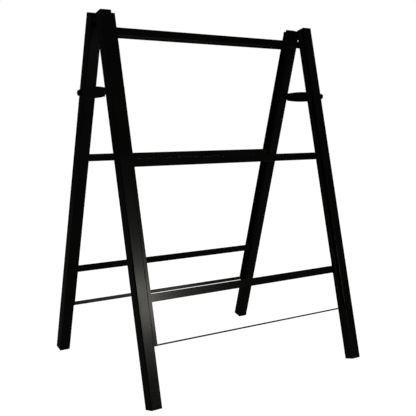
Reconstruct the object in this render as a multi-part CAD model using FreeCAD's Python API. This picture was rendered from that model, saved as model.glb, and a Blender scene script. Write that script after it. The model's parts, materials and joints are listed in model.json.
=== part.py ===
import FreeCAD, Part
import math
import os

os.makedirs("parts", exist_ok=True)

Vector = FreeCAD.Vector

# Folding trestle of two identical welded steel frames that lean together at the top.
# World axes: +X across the frames, +Y from the front frame to the back frame, +Z up.
# The origin is on the floor, in the middle of the four feet.

# ---------------------------------------------------------------- driving dimensions
# lengths in millimetres, angles in degrees

frame_width = 676.0          # over the outer sides of the two legs
leg_length = 956.0           # along the leg, over both end plugs
lean = 14.56                 # of each frame from upright, standing open

tube_size = 30.0             # square leg tube
tube_wall = 1.5
tube_corner = 2.5            # outer corner radius of the tube

bar_height = 20.0            # flat-bar rails
bar_thickness = 3.0
bar_edge = 0.5               # rolled edge radius of every flat bar
top_rail_drop = 36.0         # from the top of the leg to the top edge of the rail
middle_rail_height = 572.0   # from the foot of the leg to the bottom edge of the rail
lower_rail_height = 244.5    # likewise

guide_width = 12.0           # upright strips that keep a board against the rails
guide_thickness = 2.0
guide_setback = 7.0          # from the outer face of the leg to the face of the strip
guide_top_drop = 5.0         # from the top of the leg to the end of the strip
board_slot = 10.0            # room for a board between the rails and the strips

ledge_width = 18.0           # shelf that a board stands on
ledge_thickness = 2.0
ledge_height = 142.0         # from the foot of the leg to the underside of the shelf

plug_edge = 1.2              # rounding of the plug heads
plug_wall = 2.0
plug_hollow_corner = 1.0     # corner radius inside the plug's stem
plug_stem = 16.0             # how far a plug reaches into the tube
plug_clearance = 0.1         # between the plug's stem and the tube's bore
top_plug_head = 3.0
foot_plug_head = 5.0

hinge_offset = 13.0          # from the hinge axis to the inner face of each leg
hinge_drop = 11.6            # from the top of the leg to the hinge axis
lug_thickness = 4.0
lug_end_radius = 9.0
lug_foot = 14.0              # how far the weld edge of a lug runs below the axis
hinge_play = 0.1             # at each face of each lug
hinge_spacer = 1.0           # plastic disc between the two lugs
hinge_spacer_radius = 8.0
hinge_bolt_radius = 4.0
hinge_running_gap = 0.06     # radial, bolt in lug
hinge_head_height = 5.3
hinge_across_flats = 13.0
hex_face_step = 0.3          # from a flat of the hexagon in to its turned end face
hex_chamfer = 30.0           # angle of the turned corners
hinge_washer_radius = 8.0
hinge_washer_thickness = 1.6
hinge_nut_height = 8.0
hinge_nut_collar = 1.8       # height of the nut's plain locking collar
hinge_collar_step = 0.5      # from a flat of the nut in to its collar
hinge_bolt_tip = 1.0         # thread that stands out of the nut

pin_drop = 200.5             # from the top of the leg to the link pins
link_thickness = 3.0
link_height = 29.0           # at mid-length
link_end_radius = 7.5
link_overhang = 19.4         # from a pin to the tip of the link
link_edge = 0.4              # broken edges of the link
notch_clearance = 0.35       # round the catch pin, when hooked
notch_flare = 14.0           # opening angle of each side of the hook's mouth

shoulder_radius = 4.0        # shoulder screws: link pivots and catch pins
shoulder_play = 0.3          # end float of the link under the screw's head
pivot_running_gap = 0.06     # radial, shoulder in link
screw_head_radius = 6.5
screw_head_height = 3.0
screw_head_edge = 1.0
screw_socket = 4.0           # across flats
screw_socket_depth = 2.0
screw_thread_radius = 3.0
screw_thread_length = 11.0
pin_washer_radius = 8.0
pin_washer_thickness = 1.5
washer_bore_gap = 0.1        # radial, washers round their screws

insert_rim = 0.5             # of the threaded insert's face, round the shoulder on it
insert_length = 14.0
insert_collar_lip = 1.5      # crimped collar behind the wall, round the insert's body
insert_collar_length = 3.0
thread_gap = 0.02            # radial, between plain thread cylinders

cut_margin = 1.0             # how far a cutting shape runs past the faces that it opens
tolerance = 1e-6             # for picking edges that lie on a plane

# ---------------------------------------------------------------- sizes that follow

sin_lean = math.sin(math.radians(lean))
cos_lean = math.cos(math.radians(lean))

rail_length = frame_width - 2.0 * tube_size
leg_middle = tube_size / 2.0

guide_outer = tube_size - guide_setback
guide_inner = guide_outer - guide_thickness
rail_outer = guide_inner - board_slot
rail_inner = rail_outer - bar_thickness

rail_heights = {
    "top": leg_length - top_rail_drop - bar_height,
    "middle": middle_rail_height,
    "lower": lower_rail_height,
}

# the rounded inner edge of each foot plug touches the floor at this height in the
# unrounded corner's frame, so the whole part is lowered by it
foot_drop = plug_edge * (cos_lean + sin_lean - 1.0)

hinge_u = leg_length - hinge_drop
foot_half_spread = hinge_u * sin_lean + hinge_offset * cos_lean
hinge_z = hinge_u * cos_lean - hinge_offset * sin_lean - foot_drop

pin_u = leg_length - pin_drop
pin_y = foot_half_spread - pin_u * sin_lean + leg_middle * cos_lean
pin_z = pin_u * cos_lean + leg_middle * sin_lean - foot_drop
pin_spacing = 2.0 * pin_y

insert_radius = shoulder_radius + insert_rim
insert_collar_radius = insert_radius + insert_collar_lip

fold_angle = 2.0 * lean                     # open to parallel
link_lift = 90.0 - lean                     # level to parallel with its own leg
lift_ratio = link_lift / fold_angle

hinge_stack = (hinge_head_height + 2.0 * hinge_washer_thickness + 4.0 * hinge_play
               + 2.0 * lug_thickness + hinge_spacer + hinge_nut_height + hinge_bolt_tip)
stack_start = (tube_size - hinge_stack) / 2.0
head_washer_x = stack_start + hinge_head_height
outer_lug_x = head_washer_x + hinge_washer_thickness + hinge_play
spacer_x = outer_lug_x + lug_thickness + hinge_play
inner_lug_x = spacer_x + hinge_spacer + hinge_play
nut_washer_x = inner_lug_x + lug_thickness + hinge_play
nut_x = nut_washer_x + hinge_washer_thickness


# ---------------------------------------------------------------- helpers
# A frame is modelled upright: x across, n outward from the inner face of its legs,
# u up along the legs.  It is then leaned and stood in its place.

def frame_box(x0, x1, n0, n1, u0, u1):
    return Part.makeBox(x1 - x0, n1 - n0, u1 - u0, Vector(x0, -n1, u0))


def stand(shape, frame_name):
    placed = shape.copy()
    placed.rotate(Vector(0, 0, 0), Vector(1, 0, 0), -lean)
    placed.translate(Vector(0, -foot_half_spread, -foot_drop))
    if frame_name == "back":
        placed.rotate(Vector(0, 0, 0), Vector(0, 0, 1), 180.0)
    return placed


def save(name, shape):
    shape.exportStep("parts/" + name + ".step")


def round_edges_along(shape, direction, radius):
    """Round the straight edges that run along one direction."""
    chosen = []
    for edge in shape.Edges:
        start = edge.Vertexes[0].Point
        end = edge.Vertexes[-1].Point
        run = end.sub(start)
        if run.Length > tolerance and run.cross(direction).Length < tolerance * run.Length:
            chosen.append(edge)
    return shape.makeFillet(radius, chosen)


def round_edges_at(shape, height, radius):
    """Round the closed loop of edges that lies at one height."""
    chosen = []
    for edge in shape.Edges:
        box = edge.BoundBox
        if abs(box.ZMin - height) < tolerance and abs(box.ZMax - height) < tolerance:
            chosen.append(edge)
    return shape.makeFillet(radius, chosen)


def square_prism(size, corner, u0, u1):
    half = size / 2.0
    prism = Part.makeBox(size, size, u1 - u0, Vector(-half, -half, u0))
    return round_edges_along(prism, Vector(0, 0, 1), corner)


def disc(radius, x0, x1, y, z):
    return Part.makeCylinder(radius, x1 - x0, Vector(x0, y, z), Vector(1, 0, 0))


def hexagon(across_flats, x0, x1, y, z):
    corner = across_flats / math.sqrt(3.0)
    points = []
    for i in range(7):
        angle = math.radians(60.0 * i)
        points.append(Vector(x0, y + corner * math.cos(angle), z + corner * math.sin(angle)))
    return Part.Face(Part.makePolygon(points)).extrude(Vector(x1 - x0, 0, 0))


def tangent_point(outside, centre, radius, turn):
    """Where a line from a point outside touches a circle in the plane across X."""
    away = outside.sub(centre)
    angle = math.atan2(away.z, away.y) - turn * math.acos(radius / away.Length)
    return centre + Vector(0, radius * math.cos(angle), radius * math.sin(angle))


def to_side(shape, side):
    """Turn a piece made for the left (-X) side about the vertical axis to the right."""
    placed = shape.copy()
    if side == "right":
        placed.rotate(Vector(0, 0, 0), Vector(0, 0, 1), 180.0)
    return placed


# ---------------------------------------------------------------- frame members

def leg_axis(hand):
    return hand * (frame_width / 2.0 - leg_middle)


def leg_tube(hand):
    outer = square_prism(tube_size, tube_corner, foot_plug_head, leg_length - top_plug_head)
    bore = square_prism(tube_size - 2.0 * tube_wall, tube_corner - tube_wall,
                        foot_plug_head - cut_margin, leg_length - top_plug_head + cut_margin)
    tube = outer.cut(bore)
    hole_start = leg_middle - tube_wall - cut_margin
    hole = Part.makeCylinder(insert_radius, tube_wall + 2.0 * cut_margin,
                             Vector(hand * hole_start, 0, pin_u), Vector(hand, 0, 0))
    tube = tube.cut(hole)
    tube.translate(Vector(leg_axis(hand), -leg_middle, 0))
    return tube


def end_plug(hand, head, at_top):
    bore = tube_size - 2.0 * tube_wall - 2.0 * plug_clearance
    cap = square_prism(tube_size, tube_corner, 0, head)
    cap = round_edges_at(cap, head, plug_edge)
    stem = square_prism(bore, tube_corner - tube_wall, -plug_stem, 0)
    hollow = square_prism(bore - 2.0 * plug_wall, plug_hollow_corner,
                          -plug_stem - cut_margin, -plug_wall)
    plug = cap.fuse(stem.cut(hollow)).removeSplitter()
    if at_top:
        plug.translate(Vector(0, 0, leg_length - head))
    else:
        plug.rotate(Vector(0, 0, 0), Vector(1, 0, 0), 180.0)
        plug.translate(Vector(0, 0, head))
    plug.translate(Vector(leg_axis(hand), -leg_middle, 0))
    return plug


def rail(height):
    bar = frame_box(-rail_length / 2.0, rail_length / 2.0, rail_inner, rail_outer,
                    height, height + bar_height)
    return round_edges_along(bar, Vector(1, 0, 0), bar_edge)


def ledge():
    bar = frame_box(-rail_length / 2.0, rail_length / 2.0,
                    guide_inner - ledge_width, guide_inner,
                    ledge_height, ledge_height + ledge_thickness)
    return round_edges_along(bar, Vector(1, 0, 0), bar_edge)


def guide(hand):
    root = rail_length / 2.0
    low = min(hand * root, hand * (root - guide_width))
    bar = frame_box(low, low + guide_width, guide_inner, guide_outer,
                    ledge_height, leg_length - guide_top_drop)
    return round_edges_along(bar, Vector(0, 0, 1), bar_edge)


def hinge_lug(hand):
    """Tapered tab on the inner face of a leg; the outer one sits on the hand -1 leg."""
    offset = outer_lug_x if hand < 0 else inner_lug_x
    x0 = -frame_width / 2.0 + offset
    if hand > 0:
        x0 = frame_width / 2.0 - offset - lug_thickness
    top = leg_length - top_plug_head
    centre = Vector(x0, hinge_offset, hinge_u)
    base_top = Vector(x0, 0, top)
    base_low = Vector(x0, 0, hinge_u - lug_foot)
    up = tangent_point(base_top, centre, lug_end_radius, 1.0)
    down = tangent_point(base_low, centre, lug_end_radius, -1.0)
    nose = centre + Vector(0, lug_end_radius, 0)
    outline = Part.Wire([
        Part.LineSegment(base_top, up).toShape(),
        Part.Arc(up, nose, down).toShape(),
        Part.LineSegment(down, base_low).toShape(),
        Part.LineSegment(base_low, base_top).toShape(),
    ])
    plate = Part.Face(outline).extrude(Vector(lug_thickness, 0, 0))
    hole = disc(hinge_bolt_radius + hinge_running_gap, x0 - cut_margin,
                x0 + lug_thickness + cut_margin, hinge_offset, hinge_u)
    return plate.cut(hole)


# ---------------------------------------------------------------- pins of the links
# made on the left outer face of a leg, at the pin's place on the front leg

left_face = -frame_width / 2.0


def pin_insert():
    body = disc(insert_radius, left_face, left_face + insert_length, -pin_y, pin_z)
    collar_x = left_face + tube_wall
    collar = disc(insert_collar_radius, collar_x, collar_x + insert_collar_length, -pin_y, pin_z)
    bore = disc(screw_thread_radius + thread_gap, left_face - cut_margin,
                left_face + insert_length + cut_margin, -pin_y, pin_z)
    return body.fuse(collar).cut(bore).removeSplitter()


def pin_washer():
    washer = disc(pin_washer_radius, left_face - pin_washer_thickness, left_face, -pin_y, pin_z)
    bore = disc(shoulder_radius + washer_bore_gap,
                left_face - pin_washer_thickness - cut_margin, left_face + cut_margin,
                -pin_y, pin_z)
    return washer.cut(bore)


def shoulder_screw():
    shoulder_end = left_face - pin_washer_thickness - link_thickness - shoulder_play
    head_end = shoulder_end - screw_head_height
    head = disc(screw_head_radius, head_end, shoulder_end, -pin_y, pin_z)
    rim = []
    for edge in head.Edges:
        box = edge.BoundBox
        if abs(box.XMin - head_end) < tolerance and abs(box.XMax - head_end) < tolerance:
            rim.append(edge)
    head = head.makeFillet(screw_head_edge, rim)
    socket = hexagon(screw_socket, head_end - cut_margin, head_end + screw_socket_depth,
                     -pin_y, pin_z)
    shoulder = disc(shoulder_radius, shoulder_end, left_face, -pin_y, pin_z)
    thread = disc(screw_thread_radius, left_face, left_face + screw_thread_length, -pin_y, pin_z)
    return head.cut(socket).fuse([shoulder, thread]).removeSplitter()


# ---------------------------------------------------------------- locking links
# a runs from the pivot towards the hook, b is up; the left link pivots on the back leg

def link_point(a, b):
    x = left_face - pin_washer_thickness - link_thickness
    return Vector(x, pin_y - a, pin_z + b)


def link_blank():
    middle = pin_spacing / 2.0
    half = middle + link_overhang
    centre = half - link_end_radius
    half_height = link_height / 2.0
    side_radius = (centre ** 2 + half_height ** 2 - link_end_radius ** 2) \
        / (2.0 * (half_height - link_end_radius))
    scale = link_end_radius / (side_radius - link_end_radius)
    touch_a = centre + centre * scale
    touch_b = (side_radius - half_height) * scale
    near_top = link_point(middle - touch_a, touch_b)
    near_low = link_point(middle - touch_a, -touch_b)
    far_top = link_point(middle + touch_a, touch_b)
    far_low = link_point(middle + touch_a, -touch_b)
    outline = Part.Wire([
        Part.Arc(near_top, link_point(middle, half_height), far_top).toShape(),
        Part.Arc(far_top, link_point(middle + half, 0), far_low).toShape(),
        Part.Arc(far_low, link_point(middle, -half_height), near_low).toShape(),
        Part.Arc(near_low, link_point(middle - half, 0), near_top).toShape(),
    ])
    return Part.Face(outline).extrude(Vector(link_thickness, 0, 0))


def hook_notch():
    """The catch pin leaves along the path that folding and lifting together give it."""
    seat_radius = shoulder_radius + notch_clearance
    away_a = -(hinge_z - pin_z)
    away_b = -pin_spacing * (0.5 + lift_ratio)
    length = math.hypot(away_a, away_b)
    away_a = away_a / length
    away_b = away_b / length
    reach = link_height
    mouth = seat_radius + reach * math.tan(math.radians(notch_flare))
    corners = []
    for distance, half_width in ((0.0, -seat_radius), (reach, -mouth),
                                 (reach, mouth), (0.0, seat_radius), (0.0, -seat_radius)):
        corners.append(link_point(pin_spacing + away_a * distance - away_b * half_width,
                                  away_b * distance + away_a * half_width))
    channel = Part.Face(Part.makePolygon(corners)).extrude(Vector(link_thickness, 0, 0))
    seat = disc(seat_radius, link_point(0, 0).x, link_point(0, 0).x + link_thickness, -pin_y, pin_z)
    return channel.fuse(seat)


def lock_link():
    plate = link_blank().cut(hook_notch())
    rims = []
    x0 = link_point(0, 0).x
    for edge in plate.Edges:
        box = edge.BoundBox
        if box.XMax - box.XMin < tolerance and box.XMax - x0 < tolerance:
            rims.append(edge)
    plate = plate.makeChamfer(link_edge, rims)
    hole = disc(shoulder_radius + pivot_running_gap, x0 - cut_margin,
                x0 + link_thickness + cut_margin, pin_y, pin_z)
    return plate.cut(hole)


# ---------------------------------------------------------------- hinge fastenings
# made for the left hinge, whose bolt head faces outwards

def hinge_disc(radius, offset, thickness):
    x0 = left_face + offset
    return disc(radius, x0, x0 + thickness, 0, hinge_z)


def chamfered_hexagon(offset, height):
    """Hexagonal prism whose corners are turned off at its outer end."""
    x0 = left_face + offset
    prism = hexagon(hinge_across_flats, x0, x0 + height, 0, hinge_z)
    end_radius = hinge_across_flats / 2.0 - hex_face_step
    root_radius = end_radius + height / math.tan(math.radians(hex_chamfer))
    cone = Part.makeCone(end_radius, root_radius, height,
                         Vector(x0, 0, hinge_z), Vector(1, 0, 0))
    return prism.common(cone)


def hinge_bolt():
    head = chamfered_hexagon(stack_start, hinge_head_height)
    shank_end = nut_x + hinge_nut_height + hinge_bolt_tip
    shank = hinge_disc(hinge_bolt_radius, head_washer_x, shank_end - head_washer_x)
    return head.fuse(shank).removeSplitter()


def hinge_nut():
    hex_height = hinge_nut_height - hinge_nut_collar
    x0 = left_face + nut_x
    body = hexagon(hinge_across_flats, x0, x0 + hex_height, 0, hinge_z)
    collar = hinge_disc(hinge_across_flats / 2.0 - hinge_collar_step, nut_x + hex_height,
                        hinge_nut_collar)
    bore = hinge_disc(hinge_bolt_radius + thread_gap, nut_x - cut_margin,
                      hinge_nut_height + 2.0 * cut_margin)
    return body.fuse(collar).cut(bore).removeSplitter()


def hinge_washer(offset, radius, thickness):
    ring = hinge_disc(radius, offset, thickness)
    bore = hinge_disc(hinge_bolt_radius + washer_bore_gap, offset - cut_margin,
                      thickness + 2.0 * cut_margin)
    return ring.cut(bore)


# ---------------------------------------------------------------- the whole part

# which world side the frame's -x leg and +x leg stand on
side_of = {
    ("front", -1): "left",
    ("front", 1): "right",
    ("back", -1): "right",
    ("back", 1): "left",
}

for frame_name in ("front", "back"):
    for rail_name, height in rail_heights.items():
        save(frame_name + "_" + rail_name + "_rail", stand(rail(height), frame_name))
    save(frame_name + "_board_ledge", stand(ledge(), frame_name))

    for hand in (-1, 1):
        prefix = frame_name + "_" + side_of[(frame_name, hand)] + "_"
        save(prefix + "leg", stand(leg_tube(hand), frame_name))
        save(prefix + "board_guide", stand(guide(hand), frame_name))
        save(prefix + "hinge_lug", stand(hinge_lug(hand), frame_name))
        save(prefix + "top_plug", stand(end_plug(hand, top_plug_head, True), frame_name))
        save(prefix + "foot_plug", stand(end_plug(hand, foot_plug_head, False), frame_name))

# The left catch pin is on the front leg and the right one on the back leg; the pivots
# are on the other two legs.  The back left and front right pins mirror the front left one.
for side in ("left", "right"):
    catch_frame = "front" if side == "left" else "back"
    pivot_frame = "back" if side == "left" else "front"
    for piece_name, piece in (("insert", pin_insert()), ("washer", pin_washer()),
                              ("screw", shoulder_screw())):
        catch_piece = to_side(piece, side)
        pivot_piece = to_side(piece.mirror(Vector(0, 0, 0), Vector(0, 1, 0)), side)
        save(catch_frame + "_" + side + "_catch_" + piece_name, catch_piece)
        save(pivot_frame + "_" + side + "_pivot_" + piece_name, pivot_piece)

    save(side + "_lock_link", to_side(lock_link(), side))
    save(side + "_hinge_bolt", to_side(hinge_bolt(), side))
    save(side + "_hinge_nut", to_side(hinge_nut(), side))
    save(side + "_hinge_spacer",
         to_side(hinge_washer(spacer_x, hinge_spacer_radius, hinge_spacer), side))
    washers = Part.Compound([
        hinge_washer(head_washer_x, hinge_washer_radius, hinge_washer_thickness),
        hinge_washer(nut_washer_x, hinge_washer_radius, hinge_washer_thickness),
    ])
    save(side + "_hinge_washers", to_side(washers, side))

print("hinge axis z", round(hinge_z, 3))
print("link pins y", round(pin_y, 3), "z", round(pin_z, 3))
print("fold", round(fold_angle, 3), "link lift", round(link_lift, 3), "ratio", round(lift_ratio, 4))
print("foot half spread", round(foot_half_spread, 3), "foot drop", round(foot_drop, 4))
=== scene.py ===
import json
import math
import bmesh
import bpy
from mathutils import Matrix, Vector, noise

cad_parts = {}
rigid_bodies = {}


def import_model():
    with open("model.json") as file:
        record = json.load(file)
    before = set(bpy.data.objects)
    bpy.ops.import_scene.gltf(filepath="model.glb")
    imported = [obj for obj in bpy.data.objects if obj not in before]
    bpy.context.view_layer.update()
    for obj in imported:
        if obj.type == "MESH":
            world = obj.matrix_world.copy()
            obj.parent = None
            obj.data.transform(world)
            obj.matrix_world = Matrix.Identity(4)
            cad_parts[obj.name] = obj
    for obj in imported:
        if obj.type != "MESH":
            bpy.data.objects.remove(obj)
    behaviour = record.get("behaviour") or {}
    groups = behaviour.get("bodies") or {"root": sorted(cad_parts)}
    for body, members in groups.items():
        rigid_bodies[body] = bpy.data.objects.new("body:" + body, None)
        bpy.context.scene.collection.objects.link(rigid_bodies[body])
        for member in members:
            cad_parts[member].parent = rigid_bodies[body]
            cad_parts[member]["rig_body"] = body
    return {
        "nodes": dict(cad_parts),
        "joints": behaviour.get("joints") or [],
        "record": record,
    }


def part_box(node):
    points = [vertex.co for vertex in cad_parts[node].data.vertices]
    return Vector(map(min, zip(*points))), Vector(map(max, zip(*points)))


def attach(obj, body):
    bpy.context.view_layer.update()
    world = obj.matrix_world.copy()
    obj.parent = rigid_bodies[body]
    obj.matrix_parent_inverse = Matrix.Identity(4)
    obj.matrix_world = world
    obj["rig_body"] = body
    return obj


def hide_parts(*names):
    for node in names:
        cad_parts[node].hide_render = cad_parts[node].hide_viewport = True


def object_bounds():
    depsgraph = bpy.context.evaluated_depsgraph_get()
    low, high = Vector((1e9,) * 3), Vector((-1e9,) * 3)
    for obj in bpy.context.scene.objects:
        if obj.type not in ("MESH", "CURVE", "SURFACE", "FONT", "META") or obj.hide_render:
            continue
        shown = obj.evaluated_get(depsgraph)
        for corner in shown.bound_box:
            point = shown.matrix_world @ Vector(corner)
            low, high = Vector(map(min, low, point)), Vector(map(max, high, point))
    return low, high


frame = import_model()
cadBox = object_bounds()
nodes = frame["nodes"]
scene = bpy.context.scene
mm = 0.001
print("frame loaded:", len(nodes), "nodes")

# The main joint gives the hinge axis and how far each frame leans.
# A frame is worked on upright, then leaned about the hinge; the back frame is the
# same weldment turned half round.
foldJoint = next(j for j in frame["joints"] if j["name"] == "frame_fold")
hinge = Vector(foldJoint["pos_m"])
lean = math.radians(foldJoint["range_deg"][1]) / 2.0
aboutHinge = Matrix.Translation(hinge)
leanFront = aboutHinge @ Matrix.Rotation(-lean, 4, "X") @ aboutHinge.inverted()
halfTurn = Matrix.Rotation(math.pi, 4, "Z")
standing = {"front": leanFront, "back": halfTurn @ leanFront}


def uprightBox(name):
    # lowest and highest corner of a frame member with its frame stood upright
    toUpright = standing[name.split("_")[0]].inverted()
    points = [toUpright @ v.co for v in nodes[name].data.vertices]
    low = Vector([min(p[i] for p in points) for i in range(3)])
    high = Vector([max(p[i] for p in points) for i in range(3)])
    return low, high


camera = {
    "place": (-1.1227, -1.6525, 0.6912),
    "yaw": 34.32,       # degrees, from +Y towards +X
    "pitch": -7.67,
    "roll": 0.415,
    "lens": 62.4,       # mm on a 36 mm sensor
}


def addCamera(c):
    yaw = math.radians(c["yaw"])
    pitch = math.radians(c["pitch"])
    roll = math.radians(c["roll"])
    level = Vector((math.sin(yaw), math.cos(yaw), 0.0))
    forward = level * math.cos(pitch) + Vector((0.0, 0.0, math.sin(pitch)))
    right = Vector((math.cos(yaw), -math.sin(yaw), 0.0))
    up = right.cross(forward)
    rolledRight = right * math.cos(roll) + up * math.sin(roll)
    rolledUp = up * math.cos(roll) - right * math.sin(roll)
    turn = Matrix((rolledRight, rolledUp, -forward)).transposed()
    data = bpy.data.cameras.new("camera")
    data.lens = c["lens"]
    data.sensor_width = 36.0
    obj = bpy.data.objects.new("camera", data)
    obj.matrix_world = Matrix.Translation(Vector(c["place"])) @ turn.to_4x4()
    scene.collection.objects.link(obj)
    scene.camera = obj


studio = {
    "backdrop": (1.0, 1.0, 1.0),
    "roomLight": 0.021,         # of the white backdrop, on the object
    "floorSize": 160.0,
    "floorColour": (0.80, 0.80, 0.80),
    "floorGlow": 1.0,           # keeps the floor as white as the backdrop
    "lampTint": (1.0, 0.98, 0.90),
    "lamps": (
        # name, place, aims at, width, height, watts
        ("overheadSoftbox", (-0.6, -1.2, 3.2), (0.0, 0.0, 0.5), 2.6, 2.0, 1.4),
        ("lowSoftbox", (1.10, -2.95, 0.83), (-0.3, -0.22, 0.28), 0.22, 0.22, 3.2),
        ("backSoftbox", (1.6, 3.0, 1.6), (0.0, 0.0, 0.5), 1.2, 1.4, 7.0),
    ),
}


def addStudio(s):
    world = bpy.data.worlds.new("studio")
    world.use_nodes = True
    scene.world = world
    tree = world.node_tree
    tree.nodes.clear()
    seen = tree.nodes.new("ShaderNodeBackground")
    seen.inputs["Color"].default_value = (*s["backdrop"], 1.0)
    lighting = tree.nodes.new("ShaderNodeBackground")
    lighting.inputs["Color"].default_value = (*s["backdrop"], 1.0)
    lighting.inputs["Strength"].default_value = s["roomLight"]
    path = tree.nodes.new("ShaderNodeLightPath")
    pick = tree.nodes.new("ShaderNodeMixShader")
    out = tree.nodes.new("ShaderNodeOutputWorld")
    tree.links.new(path.outputs["Is Camera Ray"], pick.inputs[0])
    tree.links.new(lighting.outputs[0], pick.inputs[1])
    tree.links.new(seen.outputs[0], pick.inputs[2])
    tree.links.new(pick.outputs[0], out.inputs["Surface"])

    bm = bmesh.new()
    bmesh.ops.create_grid(bm, x_segments=2, y_segments=2, size=s["floorSize"] / 2.0)
    mesh = bpy.data.meshes.new("floor")
    bm.to_mesh(mesh)
    bm.free()
    floor = bpy.data.objects.new("floor", mesh)
    floor.location.z = cadBox[0].z
    scene.collection.objects.link(floor)
    paper = bpy.data.materials.new("palePaper")
    paper.use_nodes = True
    tree = paper.node_tree
    tree.nodes.clear()
    matt = tree.nodes.new("ShaderNodeBsdfDiffuse")
    matt.inputs["Color"].default_value = (*s["floorColour"], 1.0)
    glow = tree.nodes.new("ShaderNodeEmission")
    path = tree.nodes.new("ShaderNodeLightPath")
    strength = tree.nodes.new("ShaderNodeMath")
    strength.operation = "MULTIPLY"
    strength.inputs[1].default_value = s["floorGlow"]
    both = tree.nodes.new("ShaderNodeAddShader")
    out = tree.nodes.new("ShaderNodeOutputMaterial")
    tree.links.new(path.outputs["Is Camera Ray"], strength.inputs[0])
    tree.links.new(strength.outputs[0], glow.inputs["Strength"])
    tree.links.new(matt.outputs[0], both.inputs[0])
    tree.links.new(glow.outputs[0], both.inputs[1])
    tree.links.new(both.outputs[0], out.inputs["Surface"])
    mesh.materials.append(paper)

    for name, place, aim, width, height, watts in s["lamps"]:
        data = bpy.data.lights.new(name, "AREA")
        data.shape = "RECTANGLE"
        data.size = width
        data.size_y = height
        data.energy = watts
        data.color = s["lampTint"]
        lamp = bpy.data.objects.new(name, data)
        lamp.location = place
        lamp.rotation_euler = (Vector(aim) - Vector(place)).to_track_quat("-Z", "Y").to_euler()
        scene.collection.objects.link(lamp)


addCamera(camera)
addStudio(studio)
scene.view_settings.view_transform = "Standard"
print("camera, floor and lights set")


powderCoat = {
    "colour": (0.0120, 0.0118, 0.0108),
    "thinColour": (0.0200, 0.0196, 0.0178),   # where the coat is thinner
    "dustColour": (0.060, 0.058, 0.052),
    "rubColour": (0.045, 0.044, 0.041),       # paint polished by a turning washer or a board
    "roughness": (0.21, 0.26),
    "specular": 0.40,
    "metallic": 0.0,
    "peelSize": 1.6 * mm,                     # orange peel of the baked powder
    "peelDepth": 0.030 * mm,
    "grainSize": 0.35 * mm,
    "dustHeight": 0.09,                       # above the floor, metres
    "dustAmount": 0.35,
    "rubRings": (),                           # (axis y, axis z, inner radius, outer radius)
}
linkCoat = dict(powderCoat, colour=(0.0150, 0.0148, 0.0140), thinColour=(0.024, 0.0236, 0.022),
                roughness=(0.28, 0.38), peelSize=1.2 * mm, dustAmount=0.0)
blackPlastic = dict(powderCoat, colour=(0.0170, 0.0170, 0.0165), thinColour=(0.026, 0.026, 0.025),
                    roughness=(0.46, 0.60), peelSize=0.5 * mm, peelDepth=0.012 * mm,
                    grainSize=0.2 * mm, dustHeight=0.03, dustAmount=0.25)
blackNylon = dict(blackPlastic, colour=(0.012, 0.012, 0.012), roughness=(0.38, 0.50), dustAmount=0.0)
blackOxide = dict(powderCoat, colour=(0.030, 0.029, 0.028), thinColour=(0.085, 0.080, 0.073),
                  roughness=(0.26, 0.40), specular=0.5, metallic=0.85, peelSize=0.8 * mm,
                  peelDepth=0.006 * mm, grainSize=0.15 * mm, dustAmount=0.0)
zincPlate = dict(blackOxide, colour=(0.52, 0.52, 0.50), thinColour=(0.62, 0.60, 0.52),
                 roughness=(0.25, 0.40), metallic=1.0)


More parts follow.
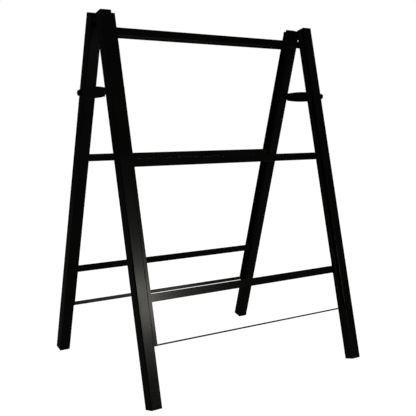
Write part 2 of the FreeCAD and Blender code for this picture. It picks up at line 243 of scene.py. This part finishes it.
def finish(name, look):
    material = bpy.data.materials.new(name)
    material.use_nodes = True
    tree = material.node_tree
    tree.nodes.clear()
    link = tree.links.new

    def node(kind, **values):
        made = tree.nodes.new(kind)
        for key, value in values.items():
            setattr(made, key, value)
        return made

    def noiseOf(size, detail):
        made = node("ShaderNodeTexNoise")
        made.inputs["Scale"].default_value = 1.0 / size
        made.inputs["Detail"].default_value = detail
        link(coords.outputs["Object"], made.inputs["Vector"])
        return made.outputs["Fac"]

    def ranged(source, low, high, toLow, toHigh):
        made = node("ShaderNodeMapRange")
        values = {"From Min": low, "From Max": high, "To Min": toLow, "To Max": toHigh}
        for socket, value in values.items():
            made.inputs[socket].default_value = value
        link(source, made.inputs["Value"])
        return made.outputs["Result"]

    def combined(operation, a, b=None, c=None):
        made = node("ShaderNodeMath", operation=operation)
        for socket, value in enumerate((a, b, c)):
            if isinstance(value, float):
                made.inputs[socket].default_value = value
            elif value is not None:
                link(value, made.inputs[socket])
        return made.outputs[0]

    def mixed(factor, colourA, colourB):
        made = node("ShaderNodeMix", data_type="RGBA")
        link(factor, made.inputs["Factor"])
        for socket, value in ((6, colourA), (7, colourB)):
            if isinstance(value, tuple):
                made.inputs[socket].default_value = (*value, 1.0)
            else:
                link(value, made.inputs[socket])
        return made.outputs[2]

    coords = node("ShaderNodeTexCoord")
    axes = node("ShaderNodeSeparateXYZ")
    link(coords.outputs["Object"], axes.inputs[0])
    cloud = noiseOf(110.0 * mm, 4.0)
    specks = noiseOf(6.0 * mm, 6.0)
    peel = noiseOf(look["peelSize"], 2.0)
    grain = noiseOf(look["grainSize"], 1.0)

    surface = node("ShaderNodeBsdfPrincipled")
    surface.inputs["Metallic"].default_value = look["metallic"]
    surface.inputs["Specular IOR Level"].default_value = look["specular"]

    colour = mixed(ranged(cloud, 0.40, 0.70, 0.0, 1.0), look["colour"], look["thinColour"])
    lowRough, highRough = look["roughness"]
    rough = ranged(cloud, 0.35, 0.68, lowRough, highRough)
    rough = combined("ADD", rough, ranged(grain, 0.3, 0.7, -0.03, 0.03))
    if look["dustAmount"] > 0.0:
        low = ranged(axes.outputs["Z"], 0.0, look["dustHeight"], look["dustAmount"], 0.0)
        dust = combined("MULTIPLY", low, ranged(specks, 0.42, 0.68, 0.0, 1.0))
        colour = mixed(dust, colour, look["dustColour"])
        rough = combined("MULTIPLY_ADD", dust, 0.4, rough)
    for axisY, axisZ, inner, outer in look["rubRings"]:
        offY = combined("SUBTRACT", combined("ABSOLUTE", axes.outputs["Y"]), axisY)
        offZ = combined("SUBTRACT", axes.outputs["Z"], axisZ)
        offY = combined("MULTIPLY", offY, offY)
        distance = combined("SQRT", combined("MULTIPLY_ADD", offZ, offZ, offY))
        middle = (inner + outer) / 2.0
        away = combined("ABSOLUTE", combined("SUBTRACT", distance, middle))
        ring = ranged(away, 0.0, (outer - inner) / 2.0, 1.0, 0.0)
        rub = combined("MULTIPLY", ring, ranged(specks, 0.40, 0.62, 0.15, 1.0))
        colour = mixed(rub, colour, look["rubColour"])
        rough = combined("MULTIPLY_ADD", rub, -0.12, rough)
    link(colour, surface.inputs["Base Color"])
    link(rough, surface.inputs["Roughness"])

    bump = node("ShaderNodeBump")
    bump.inputs["Strength"].default_value = 0.6
    bump.inputs["Distance"].default_value = look["peelDepth"]
    link(combined("MULTIPLY_ADD", grain, 0.3, peel), bump.inputs["Height"])
    link(bump.outputs["Normal"], surface.inputs["Normal"])
    out = node("ShaderNodeOutputMaterial")
    link(surface.outputs[0], out.inputs["Surface"])
    return material


linkPivot = next(Vector(j["pos_m"]) for j in frame["joints"] if j["name"] == "left_link_lift")
powderCoat["rubRings"] = ((0.0, hinge.z, 7.5 * mm, 9.2 * mm),)
linkCoat["rubRings"] = ((abs(linkPivot.y), linkPivot.z, 5.5 * mm, 8.5 * mm),)
finishes = {
    "frame_paint": finish("framePowderCoat", powderCoat),
    "link_paint": finish("linkPowderCoat", linkCoat),
    "plug_plastic": finish("plugPlastic", blackPlastic),
    "washer_plastic": finish("washerNylon", blackNylon),
    "fastener_black": finish("fastenerBlackOxide", blackOxide),
    "insert_steel": finish("insertZinc", zincPlate),
}
slotOf = {part["node"]: part["material_slot"] for part in frame["record"]["subparts"]}
for nodeName, cadNode in nodes.items():
    cadNode.data.materials.clear()
    cadNode.data.materials.append(finishes[slotOf[nodeName]])
print("finishes made:", len(finishes))


def newPiece(name, bm, body, slotName, place=None, sharpAngle=38.0):
    if place is not None:
        bmesh.ops.transform(bm, matrix=place, verts=bm.verts)
    bmesh.ops.recalc_face_normals(bm, faces=bm.faces)
    if bm.calc_volume(signed=True) < 0.0:
        bmesh.ops.reverse_faces(bm, faces=bm.faces)
    mesh = bpy.data.meshes.new(name)
    bm.to_mesh(mesh)
    bm.free()
    mesh.materials.append(finishes[slotName])
    mesh.shade_smooth()
    mesh.set_sharp_from_angle(angle=math.radians(sharpAngle))
    piece = bpy.data.objects.new(name, mesh)
    scene.collection.objects.link(piece)
    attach(piece, body)
    return piece


def standFor(name, bm, place):
    # a finer piece in the place of one CAD node
    piece = newPiece("fine_" + name, bm, nodes[name]["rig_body"], slotOf[name], place)
    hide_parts(name)
    return piece


def pull(bm, face, offset=(0.0, 0.0, 0.0), scale=1.0):
    # extrude one face, then scale it about the z axis and move it
    cap = bmesh.ops.extrude_discrete_faces(bm, faces=[face])["faces"][0]
    bmesh.ops.scale(bm, verts=cap.verts, vec=(scale, scale, 1.0))
    bmesh.ops.translate(bm, verts=cap.verts, vec=offset)
    return cap


def shrink(bm, face, inset, rise):
    # pull a square face centred on the z axis, each side moved in by the inset
    half = max(v.co.x for v in face.verts)
    return pull(bm, face, (0.0, 0.0, rise), (half - inset) / half)


def sixSided(acrossFlats, limit=1.0):
    # radius of a hexagon at an angle, where a round of the limit's radius trims its corners
    def radiusAt(angle, height):
        fromFlat = (angle + math.pi / 6.0) % (math.pi / 3.0) - math.pi / 6.0
        return min(acrossFlats / 2.0 / math.cos(fromFlat), limit)
    return radiusAt


def threaded(major, pitch, depth):
    # radius of a screw thread at an angle and height
    def radiusAt(angle, height):
        turn = (height / pitch - angle / (2.0 * math.pi)) % 1.0
        crest = min(1.0, max(0.0, abs(2.0 * turn - 1.0) * 1.3 - 0.1))
        return major - depth * (1.0 - crest)
    return radiusAt


def setRing(verts, height, radius):
    for v in verts:
        angle = math.atan2(v.co.y, v.co.x)
        r = radius(angle, height) if callable(radius) else radius
        v.co = Vector((r * math.cos(angle), r * math.sin(angle), height))


def addTurned(bm, rings, segments=48, holed=False):
    # Rings of (height, radius) follow one another from cap to cap; those of a holed piece
    # come back to the first one.
    start = bmesh.ops.create_circle(bm, cap_ends=True, radius=1.0, segments=segments)["verts"]
    cap = start[0].link_faces[0]
    if not holed:
        spare = bmesh.ops.duplicate(bm, geom=[cap, *cap.edges, *start])["geom"]
        setRing([g for g in spare if isinstance(g, bmesh.types.BMVert)], *rings[0])
    setRing(start, *rings[0])
    for height, radius in rings[1:]:
        cap = pull(bm, cap)
        setRing(cap.verts, height, radius)
    if holed:
        bmesh.ops.delete(bm, geom=[cap], context="FACES_ONLY")
    bmesh.ops.remove_doubles(bm, verts=bm.verts, dist=1e-6)


def flatRing(bore, radius, low, high, edge):
    # rings of a washer with softened rims
    return [(low, bore), (low, radius - edge), (low + edge * 0.3, radius - edge * 0.3),
            (low + edge, radius), (high - edge, radius), (high - edge * 0.3, radius - edge * 0.3),
            (high, radius - edge), (high, bore), (low, bore)]


plug = {
    "topHead": 3.0 * mm,
    "footHead": 5.0 * mm,
    "corner": 2.5 * mm,
    "rim": 1.2 * mm,            # rounding of the head's outer edge
    "shoulder": 1.6 * mm,       # seat on the end of the tube
    "wall": 2.0 * mm,
    "finStep": 3.6 * mm,        # flexible fins that grip the tube's bore
    "finThick": 0.9 * mm,
    "finDeep": 0.5 * mm,
    "finTaper": 0.15 * mm,
    "crown": 0.5 * mm,
    "treadDeep": 1.0 * mm,      # recess in the sole of a foot
    # steps in the outer face: (mm inwards, rise as a share of the tread or the crown)
    "soleSteps": ((2.0, 0.0), (0.5, -1.0), (3.5, 0.0), (0.5, 0.8), (2.0, 0.0), (0.5, -0.8)),
    "capSteps": ((2.0, 0.45), (3.0, 0.33), (3.5, 0.22), (2.5, 0.0), (0.4, -0.8)),
}


def plugMesh(p, width, head, whole, isFoot):
    # the head stands on the xy plane, the stem hangs below it
    bm = bmesh.new()
    size = Matrix.Diagonal((width, width, head, 1.0))
    bmesh.ops.create_cube(bm, size=1.0, matrix=Matrix.Translation((0.0, 0.0, head / 2.0)) @ size)
    upright = [e for e in bm.edges if abs(e.verts[0].co.z - e.verts[1].co.z) > head / 2.0]
    bmesh.ops.bevel(bm, geom=upright, offset=p["corner"], segments=6, profile=0.5,
                    affect="EDGES", material=-1)
    rim = [e for e in bm.edges if min(v.co.z for v in e.verts) > head * 0.99]
    bmesh.ops.bevel(bm, geom=rim, offset=p["rim"], segments=5, profile=0.5,
                    affect="EDGES", material=-1)

    top = max(bm.faces, key=lambda f: f.calc_center_median().z)
    # the sole has a raised pad within a rim; the cap has a low crown and the dimple of its gate
    steps = p["soleSteps"] if isFoot else p["capSteps"]
    relief = p["treadDeep"] if isFoot else p["crown"]
    for inset, rise in steps:
        top = shrink(bm, top, inset * mm, rise * relief)

    stem = whole - head
    under = min(bm.faces, key=lambda f: f.calc_center_median().z)
    under = shrink(bm, under, p["shoulder"] + p["finDeep"], 0.0)
    done = 0.0
    while done + p["finStep"] < stem:
        under = pull(bm, under, (0.0, 0.0, p["finThick"] - p["finStep"]))
        under = shrink(bm, under, -p["finDeep"], 0.0)
        under = shrink(bm, under, p["finTaper"], -p["finThick"])
        under = shrink(bm, under, p["finDeep"] - p["finTaper"], 0.0)
        done += p["finStep"]
    under = pull(bm, under, (0.0, 0.0, done - stem))
    under = shrink(bm, under, p["wall"], 0.0)
    pull(bm, under, (0.0, 0.0, stem - p["wall"]))
    return bm


def addPlugs(p):
    for frameName in ("front", "back"):
        for side in ("left", "right"):
            for end in ("top", "foot"):
                name = f"{frameName}_{side}_{end}_plug"
                low, high = uprightBox(name)
                width = high.x - low.x
                head = p["footHead"] if end == "foot" else p["topHead"]
                centre = Vector(((low.x + high.x) / 2.0, (low.y + high.y) / 2.0, high.z - head))
                turn = Matrix.Identity(4)
                if end == "foot":
                    centre.z = low.z + head
                    turn = Matrix.Rotation(math.pi, 4, "X")
                place = standing[frameName] @ Matrix.Translation(centre) @ turn
                standFor(name, plugMesh(p, width, head, high.z - low.z, end == "foot"), place)


addPlugs(plug)
print("end plugs made")


hingeBolt = {
    "radius": 4.0 * mm,
    "acrossFlats": 13.0 * mm,
    "headHeight": 5.3 * mm,
    "washerFace": 0.4 * mm,     # raised round face under the head
    "washerFaceInset": 0.4 * mm,
    "tipCut": 1.1 * mm,         # how much smaller the tip is than the shank
    "tipEase": 0.4 * mm,        # the same at the first thread
    "tipHeight": 0.7 * mm,
    "threadRunout": 0.3 * mm,
    "dish": (0.80, 0.72),       # start and floor of the head's dish, of the washer face
    "dishDeep": 0.25 * mm,
    "threadLength": 13.0 * mm,
    "pitch": 1.25 * mm,
    "threadDepth": 0.62 * mm,
    "nutHeight": 8.0 * mm,
    "nutCollar": 1.8 * mm,
    "nutEase": 0.6 * mm,        # countersink of the nut's bore
    "collarInset": 0.5 * mm,
    # the collar is rolled in over the locking ring: (below its top, inset from its side)
    "collarRoll": ((0.7 * mm, 0.0), (0.2 * mm, 0.3 * mm), (0.0, 0.9 * mm), (0.3 * mm, 1.5 * mm)),
    "collarMouth": 0.5 * mm,
    "washer": 1.6 * mm,
    "washerRadius": 8.0 * mm,
    "washerEdge": 0.25 * mm,
    "spacerEdge": 0.2 * mm,
    "boreGap": 0.1 * mm,
    "segments": 60,
}
shoulderScrew = {
    "shoulderRadius": 4.0 * mm,
    "headRadius": 6.5 * mm,
    "headHeight": 3.0 * mm,
    "headEdge": 1.0 * mm,
    "socket": 4.0 * mm,
    "socketDepth": 2.0 * mm,
    "threadRadius": 3.0 * mm,
    "threadLength": 11.0 * mm,
    "pitch": 1.0 * mm,
    "threadDepth": 0.5 * mm,
    "tipCut": 0.8 * mm,
    "tipEase": 0.3 * mm,
    "tipHeight": 0.6 * mm,
    "threadEnd": 1.0 * mm,      # below the shoulder
    "relief": 0.8 * mm,         # turned-down neck under the shoulder
    "edge": 0.2 * mm,           # broken edge of shoulder and head
    "socketMouth": 0.35 * mm,
    "drillPoint": 0.5 * mm,     # depth and end radius of the cone at the socket's floor
    "washerEdge": 0.3 * mm,
}


chamferInset = 0.3 * mm     # the end faces of a hexagon are smaller than it by this on each side


def hexRings(acrossFlats, low, high, chamferLow, chamferHigh):
    # a hexagon whose corners are turned off at 30 degrees, at either end
    faceRadius = acrossFlats / 2.0 - chamferInset
    cornerRadius = acrossFlats / math.sqrt(3.0)
    slope = math.tan(math.radians(30.0))
    steps = [i / 4.0 for i in range(1, 5)]
    rings = []
    widths = [faceRadius + (cornerRadius - faceRadius) * s for s in steps]
    if chamferLow:
        rings += [(low, faceRadius)]
        rings += [(low + (w - faceRadius) * slope, sixSided(acrossFlats, w)) for w in widths]
    else:
        rings += [(low, sixSided(acrossFlats))]
    if chamferHigh:
        rings += [(high - (w - faceRadius) * slope, sixSided(acrossFlats, w)) for w in reversed(widths)]
        rings += [(high, faceRadius)]
    else:
        rings += [(high, sixSided(acrossFlats))]
    return rings


def threadRings(major, pitch, depth, low, high):
    # from low to high, faded in and out over one pitch so that both ends are round
    count = int(round((high - low) / pitch * 8.0))
    rings = []
    for i in range(count + 1):
        height = low + (high - low) * i / count
        fade = min(1.0, (height - low) / pitch, (high - height) / pitch)
        rings.append((height, threaded(major, pitch, depth * max(fade, 0.0))))
    return rings


def boltMesh(b, length):
    # head on top of the washer at z = 0, shank downwards to the tip
    bm = bmesh.new()
    r = b["radius"]
    tip = -(length - b["headHeight"])
    threadTop = tip + b["threadLength"]
    firstThread = tip + b["tipHeight"]
    rings = [(tip, r - b["tipCut"]), (firstThread, r - b["tipEase"])]
    rings += threadRings(r, b["pitch"], b["threadDepth"], firstThread, threadTop)
    faceRadius = b["acrossFlats"] / 2.0 - b["washerFaceInset"]
    rings += [(threadTop + b["threadRunout"], r), (0.0, r), (0.0, faceRadius),
              (b["washerFace"], faceRadius)]
    rings += hexRings(b["acrossFlats"], b["washerFace"], b["headHeight"], False, True)
    dishEdge, dishFloor = b["dish"]
    rings += [(b["headHeight"], faceRadius * dishEdge),
              (b["headHeight"] - b["dishDeep"], faceRadius * dishFloor)]
    addTurned(bm, rings, segments=b["segments"])
    return bm


def nutMesh(b):
    # seat on the washer at z = 0, locking collar on top
    bm = bmesh.new()
    r = b["radius"]
    hexTop = b["nutHeight"] - b["nutCollar"]
    collar = b["acrossFlats"] / 2.0 - b["collarInset"]
    top = b["nutHeight"]
    ease = b["nutEase"]
    rings = [(ease, r), (0.0, r + ease)]
    rings += hexRings(b["acrossFlats"], 0.0, hexTop, True, True)
    rings += [(hexTop, collar)]
    rings += [(top - down, collar - inset) for down, inset in b["collarRoll"]]
    rings += [(top - b["collarMouth"], r), (ease, r)]
    addTurned(bm, rings, segments=b["segments"], holed=True)
    return bm


def screwMesh(s, shoulder):
    # the tube's face at z = 0, shoulder and head upwards, thread downwards
    bm = bmesh.new()
    r = s["threadRadius"]
    tip = -s["threadLength"]
    top = shoulder + s["headHeight"]
    edge = s["headEdge"]
    broken = s["edge"]
    neck = r - s["threadDepth"]
    firstThread = tip + s["tipHeight"]
    rings = [(tip, r - s["tipCut"]), (firstThread, r - s["tipEase"])]
    rings += threadRings(r, s["pitch"], s["threadDepth"], firstThread, -s["threadEnd"])
    rings += [(-s["relief"], neck), (0.0, neck), (0.0, s["shoulderRadius"] - broken),
              (broken, s["shoulderRadius"]), (shoulder, s["shoulderRadius"]),
              (shoulder, s["headRadius"] - broken), (shoulder + broken, s["headRadius"])]
    for i in range(6):
        angle = math.radians(90.0 * i / 5.0)
        rings.append((top - edge + edge * math.sin(angle),
                      s["headRadius"] - edge + edge * math.cos(angle)))
    mouth = s["socket"] / math.sqrt(3.0)
    rings += [(top, mouth + s["socketMouth"]), (top - s["socketMouth"], sixSided(s["socket"])),
              (top - s["socketDepth"], sixSided(s["socket"])),
              (top - s["socketDepth"] - s["drillPoint"], s["drillPoint"])]
    addTurned(bm, rings, segments=48)
    return bm


def alongX(x, y, z, towards):
    # local z turned to +X or -X of the world
    return Matrix.Translation((x, y, z)) @ Matrix.Rotation(towards * math.pi / 2.0, 4, "Y")


def addFastenings(b, s):
    r = b["radius"]
    for side, place in (("left", Matrix.Identity(4)), ("right", halfTurn)):
        # sizes along X are read on the left side; the right one is the same turned half round
        low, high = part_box("left_hinge_bolt")
        seat = low.x + b["headHeight"]
        standFor(side + "_hinge_bolt", boltMesh(b, high.x - low.x),
                 place @ alongX(seat, 0.0, hinge.z, -1.0))
        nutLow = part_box("left_hinge_nut")[0].x
        standFor(side + "_hinge_nut", nutMesh(b), place @ alongX(nutLow, 0.0, hinge.z, 1.0))

        low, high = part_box("left_hinge_washers")
        bm = bmesh.new()
        for start in (0.0, high.x - low.x - b["washer"]):
            addTurned(bm, flatRing(r + b["boreGap"], b["washerRadius"], start,
                                   start + b["washer"], b["washerEdge"]), holed=True)
        standFor(side + "_hinge_washers", bm, place @ alongX(low.x, 0.0, hinge.z, 1.0))

        low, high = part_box("left_hinge_spacer")
        bm = bmesh.new()
        addTurned(bm, flatRing(r + b["boreGap"], (high.z - low.z) / 2.0, 0.0, high.x - low.x,
                               b["spacerEdge"]), holed=True)
        standFor(side + "_hinge_spacer", bm, place @ alongX(low.x, 0.0, hinge.z, 1.0))

    for name in [n for n in nodes if n.endswith("_screw")]:
        low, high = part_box(name)
        outwards = -1.0 if low.x < 0.0 else 1.0
        tubeFace = high.x - s["threadLength"] if outwards < 0.0 else low.x + s["threadLength"]
        middle = (low + high) / 2.0
        shoulder = high.x - low.x - s["threadLength"] - s["headHeight"]
        standFor(name, screwMesh(s, shoulder), alongX(tubeFace, middle.y, middle.z, outwards))

        washer = name.replace("_screw", "_washer")
        low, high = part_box(washer)
        bm = bmesh.new()
        addTurned(bm, flatRing(s["shoulderRadius"] + b["boreGap"], (high.z - low.z) / 2.0, 0.0,
                               high.x - low.x, s["washerEdge"]), holed=True)
        standFor(washer, bm, alongX(low.x, middle.y, middle.z, 1.0))


addFastenings(hingeBolt, shoulderScrew)
print("fastenings made")


weld = {
    "railSize": 2.4 * mm,
    "ledgeSize": 1.8 * mm,
    "guideSize": 1.4 * mm,
    "lugSize": 1.7 * mm,
    "overrun": 0.6 * mm,        # past the end of a rail
    "ledgeSetback": 2.0 * mm,
    "lugSetback": 1.5 * mm,
    "radius": 0.62,             # of a bead, and of its centre's place below, in bead sizes
    "centre": 0.30,
    "rippleDeep": 0.13,
    "wander": 0.12,             # unevenness of a hand-laid bead
    "lag": 0.45,                # how far the ripples bow back at the sides
    "thinnest": 0.12,           # size of the ends
    "ripple": 1.25,             # spacing of the ripples, in bead sizes
    "segments": 10,
    "ringsPerRipple": 4,
    "stitchLength": 13.0 * mm,  # of the guides' short beads
    "stitches": 6,
}


def addBead(bm, p, start, end, across, away, size, seed):
    # a bead in the inner corner between two faces, which run off along across and away
    along = (end - start).normalized()
    length = (end - start).length
    across = across.normalized()
    away = away.normalized()
    crown = (across + away).normalized()
    sideways = along.cross(crown)
    centre = (across + away) * size * p["centre"]
    pitch = p["ripple"] * size * 0.5
    count = max(8, int(length / pitch * p["ringsPerRipple"]))
    made = bmesh.ops.create_circle(bm, cap_ends=True, radius=1.0, segments=p["segments"])["verts"]
    cap = made[0].link_faces[0]
    spare = bmesh.ops.duplicate(bm, geom=[cap, *cap.edges, *made])["geom"]
    rings = [made]
    while len(rings) <= count:
        cap = bmesh.ops.extrude_discrete_faces(bm, faces=[cap])["faces"][0]
        rings.append(list(cap.verts))
    rings[0] += [g for g in spare if isinstance(g, bmesh.types.BMVert)]
    # the circle's own points give each ring its angles
    for i, ring in enumerate(rings):
        s = length * i / count
        fromEnd = min(s, length - s) / size
        body = math.sqrt(max(0.0, 1.0 - (1.0 - min(1.0, fromEnd)) ** 2))
        lift = 1.0 - p["rippleDeep"] * ((s / pitch) % 1.0)
        wander = noise.noise(Vector((s / size * 0.35, seed * 3.7, 0.0)))
        radius = size * p["radius"] * max(p["thinnest"], body) * lift * (1.0 + p["wander"] * wander)
        for v in ring:
            angle = math.atan2(v.co.y, v.co.x)
            lag = pitch * p["lag"] * (1.0 - math.cos(angle)) * body
            v.co = (start + along * (s - lag + pitch * 0.3) + centre
                    + crown * radius * math.cos(angle) + sideways * radius * math.sin(angle))
    bmesh.ops.remove_doubles(bm, verts=rings[0], dist=1e-6)


def frameBeads(p):
    # every bead of one frame, stood upright
    beads = []
    leftFace = uprightBox("front_left_leg")[1].x
    rightFace = uprightBox("front_right_leg")[0].x
    up = Vector((0.0, 0.0, 1.0))
    inwards = Vector((0.0, 1.0, 0.0))          # from the outer face of the legs to the inner one
    for face, inner in ((leftFace, 1.0), (rightFace, -1.0)):
        across = Vector((inner, 0.0, 0.0))
        for railName in ("top", "middle", "lower"):
            low, high = uprightBox(f"front_{railName}_rail")
            beads.append((Vector((face, high.y, low.z - p["overrun"])),
                          Vector((face, high.y, high.z + p["overrun"])), across, inwards, p["railSize"]))
        low, high = uprightBox("front_board_ledge")
        setback = p["ledgeSetback"]
        beads.append((Vector((face, low.y + setback, low.z)),
                      Vector((face, high.y - setback, low.z)),
                      across, -up, p["ledgeSize"]))
    for side, face, inner in (("left", leftFace, 1.0), ("right", rightFace, -1.0)):
        across = Vector((inner, 0.0, 0.0))
        low, high = uprightBox(f"front_{side}_board_guide")
        for i in range(p["stitches"]):
            middle = low.z + (high.z - low.z) * (i + 0.5) / p["stitches"]
            half = p["stitchLength"] / 2.0
            beads.append((Vector((face, low.y, middle - half)), Vector((face, low.y, middle + half)),
                          across, -inwards, p["guideSize"]))
        low, high = uprightBox(f"front_{side}_hinge_lug")
        for x, across in ((low.x, Vector((-1.0, 0.0, 0.0))), (high.x, Vector((1.0, 0.0, 0.0)))):
            beads.append((Vector((x, low.y, low.z + p["lugSetback"])),
                          Vector((x, low.y, high.z - p["lugSetback"])),
                          across, inwards, p["lugSize"]))
    return beads


def addWelds(p):
    for frameName in ("front", "back"):
        bm = bmesh.new()
        for seed, bead in enumerate(frameBeads(p)):
            addBead(bm, p, *bead, seed + 1)
        newPiece(frameName + "_weld_beads", bm, frameName + "_frame", "frame_paint",
                 standing[frameName], sharpAngle=60.0)


addWelds(weld)
print("weld beads made")
